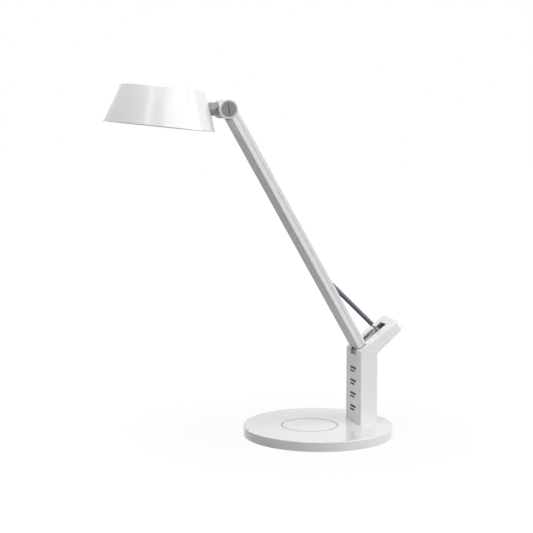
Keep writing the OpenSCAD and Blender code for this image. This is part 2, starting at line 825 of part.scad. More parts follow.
module strut_anchor() {
    ear = (anchor_w - tube_eye_w - 0.6) / 2;
    color(grey) in_arm() difference() {
        union() {
            for (side = [-1, 1])
                block(ear, bore_front + plug_gap, bore_back - plug_gap, strut_up - 5, anchor_screw + 4,
                      side * (anchor_w - ear) / 2);
            block(anchor_w, bore_front + plug_gap, bore_back - plug_gap, anchor_screw - 3, anchor_screw + 4);
        }
        pin_x(strut_pin_r + 0.02, 2 * anchor_w, arm_mid, strut_up);
        translate([0, 0, anchor_screw]) rod_y(screw_r, 0, arm_back);
    }
}

module strut_upper_pin() {
    color(silver) in_arm() pin_x(strut_pin_r, anchor_w, arm_mid, strut_up);
}

module arm_screws() {
    color(steel) in_arm() for (z = [tongue_screw, anchor_screw, fork_screw]) translate([0, 0, z]) {
        rod_y(2.6, arm_back, arm_back + 1);
        rod_y(screw_r, arm_mid - 1, arm_back + 0.5);
    }
}

module arm_cable() {
    start = arm_start_back + fit;
    color([0.85, 0.85, 0.85]) in_arm() translate([cable_x, arm_mid, start])
        cylinder(r = cable_r, h = arm_span - start - cheek_r - 6);
}

// ---------------------------------------------------------------- strut

module strut_tube() {
    color([0.42, 0.44, 0.47]) in_strut() difference() {
        translate([0, 0, 7]) cylinder(r = tube_r, h = tube_end - 7);
        translate([0, 0, 7 - cut]) cylinder(r = tube_r - tube_wall, h = tube_end);
    }
}

module strut_tube_eye() {
    color(steel) in_strut() difference() {
        union() {
            pin_x(tube_eye_r, tube_eye_w);
            cylinder(r = tube_r - tube_wall, h = 18);
            cylinder(r = tube_r, h = 7);
        }
        pin_x(strut_pin_r + run, 2 * tube_eye_w);
    }
}

module strut_gland() {
    color(silver) in_strut() difference() {
        union() {
            translate([0, 0, tube_end - gland_len]) cylinder(r = tube_r - tube_wall, h = gland_len);
            translate([0, 0, tube_end]) cylinder(r = tube_r - 0.3, h = 1);
        }
        translate([0, 0, tube_end - gland_len - cut]) cylinder(r = rod_r + run, h = gland_len + 2 + 2 * cut);
    }
}

module strut_rod() {
    color(silver) in_strut() translate([0, 0, rod_start])
        cylinder(r = rod_r, h = strut_len - rod_start - rod_eye_hole - 0.3);
}

module strut_rod_eye() {
    color(steel) in_strut() translate([0, 0, strut_len]) difference() {
        union() {
            pin_x(rod_eye_r, rod_eye_w);
            translate([0, 0, -rod_eye_r - 3]) cylinder(r = rod_r + 0.7, h = 5);
        }
        pin_x(rod_eye_hole, 2 * rod_eye_w);
        translate([0, 0, -rod_eye_r - 4]) cylinder(r = rod_r, h = 5.2);
    }
}

module strut_piston() {
    color(dark) in_strut() translate([0, 0, rod_start - 4])
        cylinder(r = tube_r - tube_wall - run, h = 4);
}

// ---------------------------------------------------------------- knuckle and neck

module knuckle() {
    nose = 2.2;
    color(silver) in_head() difference() {
        union() {
            difference() {
                pin_x(hub_r, knuckle_d);
                block(2 * knuckle_d, -knuckle_d, 4 - knuckle_nose, -knuckle_d, knuckle_d);
            }
            rod_y(knuckle_r, -knuckle_nose + nose, 0);
            translate([0, -knuckle_nose, 0]) rotate([-90, 0, 0])
                cylinder(r1 = knuckle_r - nose, r2 = knuckle_r, h = nose);
        }
        pin_x(tilt_r + run, 2 * knuckle_d);
        rod_y(spigot_r + run, -knuckle_nose - cut, 0);
        rod_y(8, -6.5, 6);
    }
}

module tilt_screw() {
    color(silver) in_head() difference() {
        union() {
            pin_x(tilt_r, 2 * cheek_out - 1.5 * cap_t, x = -cap_t / 4);
            pin_x(cap_d / 2, cap_t, x = cheek_out - cap_t / 2);
        }
        rotate([coin_turn, 0, 0]) translate([cheek_out, 0, 0])
            cube([2 * coin_slot[2], coin_slot[0], coin_slot[1]], center = true);
    }
}

module tilt_nut() {
    color(silver) in_head() difference() {
        pin_x(cap_d / 2, cap_t, x = -cheek_out + cap_t / 2);
        pin_x(tilt_r, cap_t, x = -cheek_out + cap_t);
    }
}

module tilt_washers() {
    color(dark) in_head() difference() {
        both_sides(knuckle_r, cheek_in) circle(r = 9);
        pin_x(tilt_r + run, 3 * cheek_out);
    }
}

module neck() {
    inner_end = gasket_y - gasket_t - 5;
    color(silver) {
        in_head() difference() {
            union() {
                rod_y(neck_r, gasket_y, -knuckle_nose - fit);
                rod_y(spigot_r, inner_end, -3.2);
            }
            rod_y(4, inner_end - 3, 0);
            difference() {
                rod_y(spigot_r + cut, -5.9, -4.9);
                rod_y(5.2, -6.5, -4);
            }
        }
        in_shade() difference() {
            block(14, tongue_screws[0] - 5, entry_r - shade_wall - 2, tongue_z, tongue_z + tongue_t);
            for (y = tongue_screws)
                translate([0, y, tongue_z - cut]) cylinder(r = 1.6, h = tongue_t + 2 * cut);
        }
    }
}

module swivel_clip() {
    color(steel) in_head() difference() {
        rod_y(7.6, -5.8, -5);
        rod_y(5.25, -7, -4);
    }
}

module neck_gasket() {
    color(grey) difference() {
        in_head() difference() {
            rod_y(neck_r, gasket_y - 12, gasket_y - 0.1);
            rod_y(spigot_r + 0.05, gasket_y - 14, gasket_y + cut);
        }
        in_shade() cylinder(r1 = shade_rim_r, r2 = shade_top_r, h = shade_h, $fn = 180);
    }
}

module neck_screws() {
    color(steel) in_shade() for (y = tongue_screws) {
        translate([0, y, tongue_z + tongue_t]) cylinder(r = 2.8, h = 1.6);
        translate([0, y, sink_z + 0.2]) cylinder(r = 1.5, h = sink_t + tongue_t + 1);
    }
}

// ---------------------------------------------------------------- shade

module shade_outline() {
    rounded_outline([
        [0, shade_h - shade_wall],
        [0, shade_h],
        [shade_top_r, shade_h],
        [shade_rim_r, 0],
        [shade_rim_r - shade_wall, 0],
        [shade_in(shade_h - shade_wall), shade_h - shade_wall]
    ], [0, 0, 1, 0.5, 0.5, 1]);
}

module shade() {
    color(white) difference() {
        in_shade() union() {
            rotate_extrude($fn = 180) shade_outline();
            for (a = shade_posts) rotate(a) translate([shade_post_at, 0, tongue_z]) difference() {
                cylinder(r = 4, h = shade_h - shade_wall - tongue_z + 0.5);
                translate([0, 0, -cut]) cylinder(r = screw_r, h = cut + post_bite + 1);
            }
        }
        in_head() rod_y(spigot_r + 0.1, gasket_y - 12, gasket_y + 5);
    }
}

// Disc of the light unit, pierced for the shade's screws
module core_disc(r, z, t) {
    in_shade() difference() {
        translate([0, 0, z]) cylinder(r = r, h = t, $fn = 120);
        for (a = shade_posts)
            rotate(a) translate([shade_post_at, 0, z - cut]) cylinder(r = 1.6, h = t + 2 * cut);
    }
}

module heat_sink() {
    color(silver) difference() {
        core_disc(core_r, sink_z, sink_t);
        in_shade() for (y = tongue_screws)
            translate([0, y, sink_z - cut]) cylinder(r = 1.5, h = sink_t + 2 * cut);
    }
}

module led_board() {
    color([0.9, 0.9, 0.88]) core_disc(core_r - 1, led_board_z, led_board_t);
}

module led_chips() {
    color([0.95, 0.9, 0.5]) in_shade() for (i = [0:chip_count - 1])
        rotate((i + 0.5) * 360 / chip_count) translate([core_r - 9, 0, chips_z + chip_t / 2])
            cube([3, 3, chip_t], center = true);
}

module reflector_ring() {
    color(white) in_shade() translate([0, 0, diffuser_in + diffuser_t]) difference() {
        cylinder(r = core_r - 1, h = led_board_z - diffuser_in - diffuser_t, $fn = 120);
        translate([0, 0, -cut]) cylinder(r = core_r - 3, h = 20, $fn = 120);
    }
}

module diffuser() {
    color([0.97, 0.97, 0.95]) in_shade() translate([0, 0, diffuser_in])
        cylinder(r = diffuser_r, h = diffuser_t, $fn = 120);
}

module diffuser_ring() {
    color(white) in_shade() translate([0, 0, diffuser_in - 2.5]) difference() {
        cylinder(r = diffuser_r, h = 2.5, $fn = 120);
        translate([0, 0, -cut]) cylinder(r = diffuser_r - 4, h = 5, $fn = 120);
    }
}

module driver_board() {
    color(board) in_shade() translate([0, -12, tongue_z]) {
        translate([-18, -11, 0]) cube([36, 22, 1.6]);
        translate([-14, -7, 1.6]) cube([12, 12, 8]);
        translate([4, -6, 1.6]) cube([9, 11, 5]);
    }
}

module shade_screws() {
    color(steel) in_shade() for (a = shade_posts) rotate(a) translate([shade_post_at, 0, 0]) {
        translate([0, 0, led_board_z - 1.6]) cylinder(r = 2.8, h = 1.6);
        translate([0, 0, led_board_z]) cylinder(r = screw_r, h = led_board_t + sink_t + post_bite);
    }
}

// ---------------------------------------------------------------- nodes

base_cover();
charging_ring();
charging_coil();
coil_ferrite();
charger_board();
ballast_disc();
base_plate();
foot_mat();
power_inlet();
base_screws();
column_shell();
column_front();
column_screws();
hinge_frame();
frame_bolts();
control_board();
board_screws();
key_switches();
light_windows();
power_key();
mode_key();
brighter_key();
dimmer_key();
arm_pivot_pin();
arm_pivot_nut();
friction_discs();
strut_lower_pin();
strut_spacers();
arm_profile();
arm_tongue();
pivot_bush();
arm_fork();
strut_anchor();
strut_upper_pin();
arm_screws();
arm_cable();
strut_tube();
strut_tube_eye();
strut_gland();
strut_rod();
strut_rod_eye();
strut_piston();
knuckle();
tilt_screw();
tilt_nut();
tilt_washers();
neck();
swivel_clip();
neck_gasket();
neck_screws();
shade();
heat_sink();
led_board();
led_chips();
reflector_ring();
diffuser();
diffuser_ring();
driver_board();
shade_screws();
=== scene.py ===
import json
import math

import bmesh
import bpy
import numpy as np
from mathutils import Matrix

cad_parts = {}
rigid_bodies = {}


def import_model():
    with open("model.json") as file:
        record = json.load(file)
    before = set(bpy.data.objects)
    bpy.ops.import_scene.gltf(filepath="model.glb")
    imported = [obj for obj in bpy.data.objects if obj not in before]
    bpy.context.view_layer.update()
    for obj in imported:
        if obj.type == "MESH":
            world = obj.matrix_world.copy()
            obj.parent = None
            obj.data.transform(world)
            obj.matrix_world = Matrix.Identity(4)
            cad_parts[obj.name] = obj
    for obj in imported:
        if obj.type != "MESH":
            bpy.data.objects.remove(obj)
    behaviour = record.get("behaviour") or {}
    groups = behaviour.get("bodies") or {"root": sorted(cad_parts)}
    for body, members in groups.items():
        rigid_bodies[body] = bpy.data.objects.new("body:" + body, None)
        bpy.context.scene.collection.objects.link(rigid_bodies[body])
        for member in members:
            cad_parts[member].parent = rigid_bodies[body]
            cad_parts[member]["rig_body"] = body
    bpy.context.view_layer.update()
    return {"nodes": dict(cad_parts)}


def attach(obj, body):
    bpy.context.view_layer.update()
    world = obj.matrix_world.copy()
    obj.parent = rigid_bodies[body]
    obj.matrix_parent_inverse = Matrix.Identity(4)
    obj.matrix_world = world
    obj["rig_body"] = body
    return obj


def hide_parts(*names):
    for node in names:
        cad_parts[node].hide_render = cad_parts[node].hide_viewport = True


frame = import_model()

nodes = frame["nodes"]


# ---------------------------------------------------------------- Camera
# A long lens to the right of the lamp's front, looking down by seven degrees, so that the arm stands almost
# side on and the column shows its key side at a shallow angle.

EYE = (1.7048, -0.6594, 0.4451)
EYE_TURN, EYE_DIP = 71.02, 6.84
SENSOR_MM, PICTURE_PIXELS, FOCAL_PIXELS = 36, 533, 1390

camera = bpy.data.objects.new("camera", bpy.data.cameras.new("camera"))
camera.location = EYE
camera.rotation_euler = (math.radians(90 - EYE_DIP), 0, math.radians(EYE_TURN))
camera.data.sensor_width = SENSOR_MM
camera.data.lens = FOCAL_PIXELS / PICTURE_PIXELS * SENSOR_MM
camera.data.clip_start, camera.data.clip_end = 0.05, 50
bpy.context.scene.collection.objects.link(camera)
bpy.context.scene.camera = camera
bpy.context.scene.view_settings.view_transform = "Standard"


# ---------------------------------------------------------------- Base cover
# Shallow round cap, injection moulded in white ABS and polished to a mirror-like gloss. Screws from below
# hold it to the plate that closes it. The dull ring of the charging place lies in its groove.

NOISE_FROM, NOISE_TO, NOISE_DETAIL = 0.3, 0.7, 3
WELD_WITHIN, FLAT_WITHIN = 2e-6, 0.1


def finish(name, light, dark, grain, rough, relief=0.0, stretch=(1, 1, 1), **sockets):
    """Procedural finish on object coordinates. Noise of `grain` cells a metre, times `stretch` along each
    axis, runs the colour from dark to light and the roughness over the pair `rough` as it rises from
    NOISE_FROM to NOISE_TO, and the surface by `relief` metres. The other sockets take one value each."""
    material = bpy.data.materials.new(name)
    material.use_nodes = True
    tree = material.node_tree
    shader = tree.nodes["Principled BSDF"]
    place = tree.nodes.new("ShaderNodeTexCoord")
    spread = tree.nodes.new("ShaderNodeMapping")
    spread.inputs["Scale"].default_value = stretch
    noise = tree.nodes.new("ShaderNodeTexNoise")
    noise.inputs["Scale"].default_value = grain
    noise.inputs["Detail"].default_value = NOISE_DETAIL
    tree.links.new(place.outputs["Object"], spread.inputs["Vector"])
    tree.links.new(spread.outputs["Vector"], noise.inputs["Vector"])
    tones = tree.nodes.new("ShaderNodeValToRGB")
    ends = tones.color_ramp.elements
    ends[0].position, ends[1].position = NOISE_FROM, NOISE_TO
    ends[0].color = (*dark, 1)
    ends[1].color = (*light, 1)
    tree.links.new(noise.outputs["Fac"], tones.inputs["Fac"])
    tree.links.new(tones.outputs["Color"], shader.inputs["Base Color"])
    gloss = tree.nodes.new("ShaderNodeMapRange")
    gloss.inputs["From Min"].default_value, gloss.inputs["From Max"].default_value = NOISE_FROM, NOISE_TO
    gloss.inputs["To Min"].default_value, gloss.inputs["To Max"].default_value = rough
    tree.links.new(noise.outputs["Fac"], gloss.inputs["Value"])
    tree.links.new(gloss.outputs["Result"], shader.inputs["Roughness"])
    if relief:
        bump = tree.nodes.new("ShaderNodeBump")
        bump.inputs["Strength"].default_value = 1
        bump.inputs["Distance"].default_value = relief
        tree.links.new(noise.outputs["Fac"], bump.inputs["Height"])
        tree.links.new(bump.outputs["Normal"], shader.inputs["Normal"])
    for socket, value in sockets.items():
        shader.inputs[socket.replace("_", " ")].default_value = value
    return material


def refine(node, material, sharp=28):
    """Smooth-shaded copy of a machined or moulded node: corners within WELD_WITHIN merged, triangles within
    FLAT_WITHIN degrees of one plane joined, edges sharper than `sharp` degrees kept crisp, and flat faces
    made to rule the shading of the roundings."""
    source = nodes[node]
    made = bpy.data.objects.new(node + "_fine", source.data.copy())
    bpy.context.scene.collection.objects.link(made)
    form = bmesh.new()
    form.from_mesh(made.data)
    bmesh.ops.remove_doubles(form, verts=form.verts, dist=WELD_WITHIN)
    bmesh.ops.dissolve_limit(form, angle_limit=math.radians(FLAT_WITHIN), use_dissolve_boundaries=False,
                             verts=form.verts, edges=form.edges, delimit=set())
    form.to_mesh(made.data)
    form.free()
    made.data.polygons.foreach_set("use_smooth", np.ones(len(made.data.polygons), bool))
    made.data.set_sharp_from_angle(angle=math.radians(sharp))
    even = made.modifiers.new("even", "WEIGHTED_NORMAL")
    even.keep_sharp = True
    made.data.materials.clear()
    made.data.materials.append(material)
    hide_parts(node)
    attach(made, source["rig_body"])


gloss_white = finish("gloss_white", (0.77, 0.77, 0.77), (0.755, 0.755, 0.755), 60, (0.05, 0.08),
                     relief=1e-6, Coat_Weight=0.5, Coat_Roughness=0.03, Specular_IOR_Level=0.5)
refine("base_cover", gloss_white)


# ---------------------------------------------------------------- Charging ring
# Thin soft ring pressed into a groove of the cover. It marks the charging place and stands a fifth of a
# millimetre proud, so that what lies on it doesn't slide.

RING_CENTRE = (0, -0.012, 0.0122)
RING_IN_R, RING_OUT_R, RING_T = 0.0365, 0.0385, 0.001
RING_BEVEL_R, RING_BEVEL_Z = 0.0003, 0.0002
POLE_WITHIN, CREASE = 1e-6, 35


def eased(corners, reach, steps=6):
    """Open outline whose inner corners are eased: each corner C becomes a quadratic curve from A, `reach`
    before it, to B, `reach` after it, (1-t)^2 A + 2t(1-t) C + t^2 B."""
    p = np.asarray(corners, float)
    r = np.broadcast_to(np.asarray(reach, float), (len(p) - 2,))[:, None]
    back, ahead = p[:-2] - p[1:-1], p[2:] - p[1:-1]
    a = p[1:-1] + back / np.linalg.norm(back, axis=1, keepdims=True) * r
    b = p[1:-1] + ahead / np.linalg.norm(ahead, axis=1, keepdims=True) * r
    t = np.linspace(0, 1, steps)[None, :, None]
    curve = (1 - t) ** 2 * a[:, None] + 2 * t * (1 - t) * p[1:-1, None] + t ** 2 * b[:, None]
    return np.vstack([p[:1], curve.reshape(-1, 2), p[-1:]])


def turned(profile, around):
    """Surface of revolution: profile point (r, z) at angle a stands at (r cos a, r sin a, z)."""
    a = np.linspace(0, 2 * np.pi, around, endpoint=False)
    r, z = profile[:, 0, None], profile[:, 1, None]
    return np.stack([r * np.cos(a), r * np.sin(a), z + 0 * a], -1)


def skin(name, grid, place, material, body, slot, *stands_for, loop=False):
    """Mesh from a grid of points. Each row runs round and closes on itself, and with `loop` the last row
    joins the first. The points are moved by the matrix `place`, doubles at poles are merged and the faces
    turned outwards."""
    rows, cols = grid.shape[:2]
    i, j = np.meshgrid(np.arange(rows if loop else rows - 1), np.arange(cols), indexing="ij")
    k, n = (i + 1) % rows, (j + 1) % cols
    faces = np.stack([i * cols + j, i * cols + n, k * cols + n, k * cols + j], -1).reshape(-1, 4)
    flat = np.c_[grid.reshape(-1, 3), np.ones(rows * cols)] @ np.array(place).T
    mesh = bpy.data.meshes.new(name)
    mesh.from_pydata(flat[:, :3].tolist(), [], faces.tolist())
    form = bmesh.new()
    form.from_mesh(mesh)
    bmesh.ops.remove_doubles(form, verts=form.verts, dist=POLE_WITHIN)
    bmesh.ops.recalc_face_normals(form, faces=form.faces)
    form.to_mesh(mesh)
    form.free()
    mesh.polygons.foreach_set("use_smooth", np.ones(len(mesh.polygons), bool))
    mesh.set_sharp_from_angle(angle=math.radians(CREASE))
    mesh.materials.append(material)
    made = bpy.data.objects.new(name, mesh)
    bpy.context.scene.collection.objects.link(made)
    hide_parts(*stands_for)
    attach(made, body)


soft_grey = finish("soft_grey", (0.50, 0.50, 0.49), (0.42, 0.42, 0.42), 1800, (0.55, 0.75), relief=2e-5)
band = np.array([[RING_IN_R, 0], [RING_IN_R, RING_T - RING_BEVEL_Z], [RING_IN_R + RING_BEVEL_R, RING_T],
                 [RING_OUT_R - RING_BEVEL_R, RING_T], [RING_OUT_R, RING_T - RING_BEVEL_Z], [RING_OUT_R, 0]])
skin("charging_ring_fine", turned(band, 192), Matrix.Translation(RING_CENTRE), soft_grey, "lamp_base",
     "grey_rubber", "charging_ring", loop=True)


# ---------------------------------------------------------------- Inside of the base
# Wound copper coil on a ferrite sheet, a small charger board, and a machined steel disc whose weight keeps
# the lamp from tipping. A black plate closes the base and carries a foam mat; the inlet sits in the rear.

def bare(node, material, slot):
    """A node whose solid has the right form takes its material as it is."""
    nodes[node].data.materials.clear()
    nodes[node].data.materials.append(material)


copper = finish("enamelled_copper", (0.66, 0.30, 0.14), (0.40, 0.16, 0.07), 700, (0.22, 0.4), Metallic=1.0)
ferrite = finish("ferrite", (0.09, 0.09, 0.095), (0.05, 0.05, 0.055), 900, (0.6, 0.8), relief=1e-5)
board_green = finish("solder_mask", (0.04, 0.19, 0.10), (0.02, 0.10, 0.05), 260, (0.3, 0.45), relief=1e-5,
                     stretch=(1, 6, 1))
turned_steel = finish("turned_steel", (0.56, 0.57, 0.58), (0.42, 0.42, 0.44), 300, (0.3, 0.45),
                      relief=4e-6, stretch=(1, 1, 12), Metallic=1.0)
mould_black = finish("mould_black", (0.045, 0.045, 0.048), (0.03, 0.03, 0.032), 1400, (0.45, 0.6),
                     relief=1e-5)
foam_black = finish("foam_black", (0.06, 0.06, 0.06), (0.02, 0.02, 0.02), 2600, (0.8, 0.95), relief=1.2e-4)

bare("charging_coil", copper, "copper")
bare("coil_ferrite", ferrite, "ferrite")
bare("charger_board", board_green, "circuit_board")
bare("ballast_disc", turned_steel, "steel")
bare("base_screws", turned_steel, "steel")
refine("base_plate", mould_black)
refine("foot_mat", foam_black)
refine("power_inlet", mould_black)


# ---------------------------------------------------------------- Column
# One moulded shell in a satin white, screwed to the base from below. Its front is closed by a panel that
# clips in flush, and the slot in its slanted top lets the arm's tongue and the strut swing.

shell_white = finish("shell_white", (0.85, 0.85, 0.85), (0.835, 0.835, 0.835), 45, (0.28, 0.36), relief=1e-6,
                     Specular_IOR_Level=0.3)
panel_white = finish("panel_white", (0.83, 0.83, 0.83), (0.815, 0.815, 0.815), 45, (0.26, 0.34), relief=1e-6,
                     Specular_IOR_Level=0.25)
refine("column_shell", shell_white)
refine("column_front", panel_white)

sheet_steel = finish("sheet_steel", (0.50, 0.51, 0.52), (0.40, 0.40, 0.42), 500, (0.3, 0.5), relief=3e-6,
                     stretch=(1, 1, 9), Metallic=1.0)
bare("column_screws", sheet_steel, "steel")
frame_white = finish("frame_white", (0.84, 0.84, 0.84), (0.80, 0.80, 0.80), 700, (0.5, 0.65), relief=2e-6)
refine("hinge_frame", frame_white)
bare("frame_bolts", sheet_steel, "steel")
bare("control_board", board_green, "circuit_board")
bare("board_screws", sheet_steel, "steel")
bare("key_switches", mould_black, "dark_plastic")
bare("friction_discs", mould_black, "dark_plastic")
polished_pin = finish("polished_pin", (0.72, 0.72, 0.74), (0.62, 0.62, 0.64), 900, (0.14, 0.24), Metallic=1.0,
                      stretch=(0.2, 1, 1))
for pin in ("arm_pivot_pin", "strut_lower_pin", "strut_spacers", "strut_upper_pin"):
    refine(pin, polished_pin)
refine("arm_pivot_nut", sheet_steel)


# ---------------------------------------------------------------- Keys and light windows
# Four slim bars of dark satin plastic that stand just proud of the panel, each with a smoked window below
# it. The bars have full round ends and an eased rim.

KEYS = ("power_key", "mode_key", "brighter_key", "dimmer_key")
TOP_KEY_Z, KEY_PITCH = 0.087, 0.0176
KEY_FRONT, KEY_BACK = 0.05010, 0.0529
KEY_HALF_W, KEY_HALF_H = 0.0094, 0.00135
KEY_RIM, KEY_RIM_SHARE = 0.0003, 0.35


def bar(half_w, half_h, front, back, z, around=48, rings=9):
    """Bar along Y with a stadium section: a circle of radius half_h whose left and right halves are moved
    apart to the full width. Over the last KEY_RIM before the front, as u runs from 0 to 1, that radius
    shrinks by the share KEY_RIM_SHARE (1 - sqrt(1 - u^2)), which rounds the rim."""
    a = np.linspace(0, 2 * np.pi, around, endpoint=False)
    u = np.linspace(0, 1, rings)[:, None]
    shrink = 1 - KEY_RIM_SHARE * (1 - np.sqrt(1 - u ** 2))
    edge = half_w - half_h
    x = np.sign(np.cos(a)) * edge + half_h * np.cos(a) * shrink
    up = half_h * np.sin(a) * shrink
    y = front + (1 - u) * KEY_RIM + 0 * a
    wall = np.stack([x, y, z + up], -1)
    rear = np.stack([wall[0, :, 0], 0 * a + back, wall[0, :, 2]], -1)[None]
    tip = np.stack([0 * a, 0 * a + front, 0 * a + z], -1)[None]
    heel = np.stack([0 * a, 0 * a + back, 0 * a + z], -1)[None]
    return np.concatenate([heel, rear, wall, tip])


key_dark = finish("key_dark", (0.016, 0.028, 0.035), (0.011, 0.021, 0.027), 500, (0.35, 0.45), relief=2e-6,
                  Specular_IOR_Level=0.12)
window_smoke = finish("window_smoke", (0.045, 0.036, 0.036), (0.03, 0.024, 0.024), 700, (0.4, 0.5),
                      Specular_IOR_Level=0.15)
for index, key in enumerate(KEYS):
    key_form = bar(KEY_HALF_W, KEY_HALF_H, KEY_FRONT, KEY_BACK, TOP_KEY_Z - index * KEY_PITCH)
    skin(key + "_bar", key_form, Matrix(), key_dark, key, "key_dark", key)
refine("light_windows", window_smoke)


# ---------------------------------------------------------------- Arm
# Flat extruded aluminium profile with a fine groove along each side, powder coated white. A moulded tongue
# closes its lower end and turns in the column, and screws in its back hold what sits inside.

coat_white = finish("coat_white", (0.83, 0.83, 0.83), (0.82, 0.82, 0.82), 45, (0.4, 0.5), relief=1e-6,
                    Specular_IOR_Level=0.05)
refine("arm_profile", coat_white)
tongue_grey = finish("tongue_grey", (0.30, 0.30, 0.31), (0.26, 0.26, 0.27), 900, (0.4, 0.55), relief=8e-6)
tongue_pale = finish("tongue_pale", (0.74, 0.74, 0.74), (0.70, 0.70, 0.70), 900, (0.45, 0.6), relief=4e-6)
refine("arm_tongue", tongue_pale)
bush_ivory = finish("bush_ivory", (0.75, 0.72, 0.62), (0.70, 0.67, 0.58), 600, (0.35, 0.5))
bare("pivot_bush", bush_ivory, "opal")
refine("strut_anchor", tongue_grey)
refine("arm_screws", polished_pin)
sheath_white = finish("sheath_white", (0.72, 0.72, 0.71), (0.66, 0.66, 0.65), 800, (0.5, 0.65))
bare("arm_cable", sheath_white, "cable_white")


# ---------------------------------------------------------------- Strut
# Telescopic stay that takes part of the head's weight: a tube in satin blue grey, closed by a satin silver
# guide bush, and a polished rod that slides out of it. A piston on the rod gives the friction.

UPPER_PIN = np.array([0, -0.003036, 0.222181])
STRUT_WAY = np.array([0, 0.719192, -0.694811])
TUBE_START, TUBE_END, TUBE_R, TUBE_BORE = 0.007, 0.111172, 0.00315, 0.0026
ROD_START, ROD_END, ROD_R = 0.060, 0.123972, 0.0022
SEAM_IN, STRUT_EASE = 0.002, 0.0002


def set_at(across, up, way, place):
    """Placement that carries a piece's own X, Y and Z to the directions `across`, `up` and `way` and its
    origin to `place`: these four are the columns of the matrix, over the row 0 0 0 1."""
    return Matrix(np.vstack([np.c_[across, up, way, place], [0, 0, 0, 1]]).tolist())


strut_place = set_at([1, 0, 0], np.cross(STRUT_WAY, [1, 0, 0]), STRUT_WAY, UPPER_PIN)
tube_grey = finish("tube_grey", (0.085, 0.096, 0.115), (0.072, 0.082, 0.098), 1200, (0.28, 0.36), relief=2e-6,
                   stretch=(1, 0.1, 0.1), Metallic=0.5)
tube = eased([[TUBE_BORE, TUBE_END - SEAM_IN], [TUBE_BORE, TUBE_END], [TUBE_R, TUBE_END],
              [TUBE_R, TUBE_START], [TUBE_BORE, TUBE_START]], STRUT_EASE)
skin("strut_tube_fine", turned(tube, 64), strut_place, tube_grey, "strut_outer", "tube_grey", "strut_tube",
     loop=True)
rod = eased([[0, ROD_START], [ROD_R, ROD_START], [ROD_R, ROD_END], [0, ROD_END]], STRUT_EASE)
skin("strut_rod_fine", turned(rod, 48), strut_place, polished_pin, "strut_inner", "rod_chrome", "strut_rod")
satin_silver = finish("satin_silver", (0.27, 0.27, 0.275), (0.245, 0.245, 0.25), 500, (0.36, 0.46),
                      relief=1e-6, stretch=(1, 6, 1), Metallic=0.5)
refine("strut_gland", satin_silver)
refine("strut_tube_eye", sheet_steel)
refine("strut_rod_eye", sheet_steel)
bare("strut_piston", mould_black, "dark_plastic")


# ---------------------------------------------------------------- Fork and knuckle
# Cast fork, plugged into the arm's upper end, whose two round cheeks hold the knuckle. A screw with a coin
# slot clamps them, so that the head stays where it is tilted; its head and nut are flush brushed caps.

KNUCKLE_SHARP = 10

fork_pale = finish("fork_pale", (0.64, 0.64, 0.64), (0.62, 0.62, 0.62), 600, (0.35, 0.45), relief=8e-7,
                   Specular_IOR_Level=0.3)
refine("arm_fork", fork_pale)
cap_brushed = finish("cap_brushed", (0.19, 0.19, 0.195), (0.155, 0.155, 0.16), 260, (0.4, 0.5), relief=1e-6,
                     stretch=(1, 14, 0.4), Metallic=0.4)
refine("tilt_screw", cap_brushed)
refine("tilt_nut", cap_brushed)
refine("knuckle", fork_pale, KNUCKLE_SHARP)
bare("tilt_washers", mould_black, "dark_plastic")


# ---------------------------------------------------------------- Neck
# Turned aluminium neck whose spigot is held in the knuckle by a spring clip, so the head can roll. A grey
# gasket ring fits its end to the slope of the shade.

refine("neck", satin_silver)
refine("neck_gasket", tongue_grey)
bare("swivel_clip", sheet_steel, "steel")
bare("neck_screws", sheet_steel, "steel")


# ---------------------------------------------------------------- Shade
# Tapered drum, moulded in one with its flat top, in semi-gloss white. Its wall is two millimetres thick,
# with a small round at the rim and at the top edge. The posts that carry the light unit and the hole for
# the neck's spigot are hidden, and are not made here.

TILT_AXIS = (0, -0.1295, 0.4332236)
RIM_AHEAD, RIM_BELOW, SHADE_PITCH = 0.0884, 0.0214, -6
RIM_CENTRE = (0, TILT_AXIS[1] - RIM_AHEAD, TILT_AXIS[2] - RIM_BELOW)
SHADE_H, SHADE_TOP_R, SHADE_RIM_R, SHADE_WALL = 0.0487, 0.0556, 0.0734, 0.002
SHADE_IN_TOP_R = SHADE_RIM_R - (SHADE_RIM_R - SHADE_TOP_R) * (SHADE_H - SHADE_WALL) / SHADE_H - SHADE_WALL
INNER_EASE, RIM_EASE, TOP_EASE = 0.001, 0.0004, 0.0008

shade_place = Matrix.Translation(RIM_CENTRE) @ Matrix.Rotation(math.radians(SHADE_PITCH), 4, "X")
shade_white = finish("shade_white", (0.79, 0.79, 0.79), (0.78, 0.78, 0.78), 30, (0.2, 0.26), relief=1e-6,
                     Specular_IOR_Level=0.5, Coat_Weight=1.0, Coat_Roughness=0.18)
wall = eased([[0, SHADE_H - SHADE_WALL], [SHADE_IN_TOP_R, SHADE_H - SHADE_WALL],
              [SHADE_RIM_R - SHADE_WALL, 0], [SHADE_RIM_R, 0], [SHADE_TOP_R, SHADE_H], [0, SHADE_H]],
             [INNER_EASE, RIM_EASE, RIM_EASE, TOP_EASE], steps=8)
skin("shade_fine", turned(wall, 256), shade_place, shade_white, "head", "white_plastic", "shade")


# ---------------------------------------------------------------- Light unit
# Aluminium plate with a ring of light chips, a reflector ring and an opal disc that spreads their light.
# A white ring holds the disc inside the rim, and the driver board lies on the plate.

OPAL_IN, OPAL_T, OPAL_R, OPAL_EASE = 0.014, 0.002, 0.06515, 0.0003

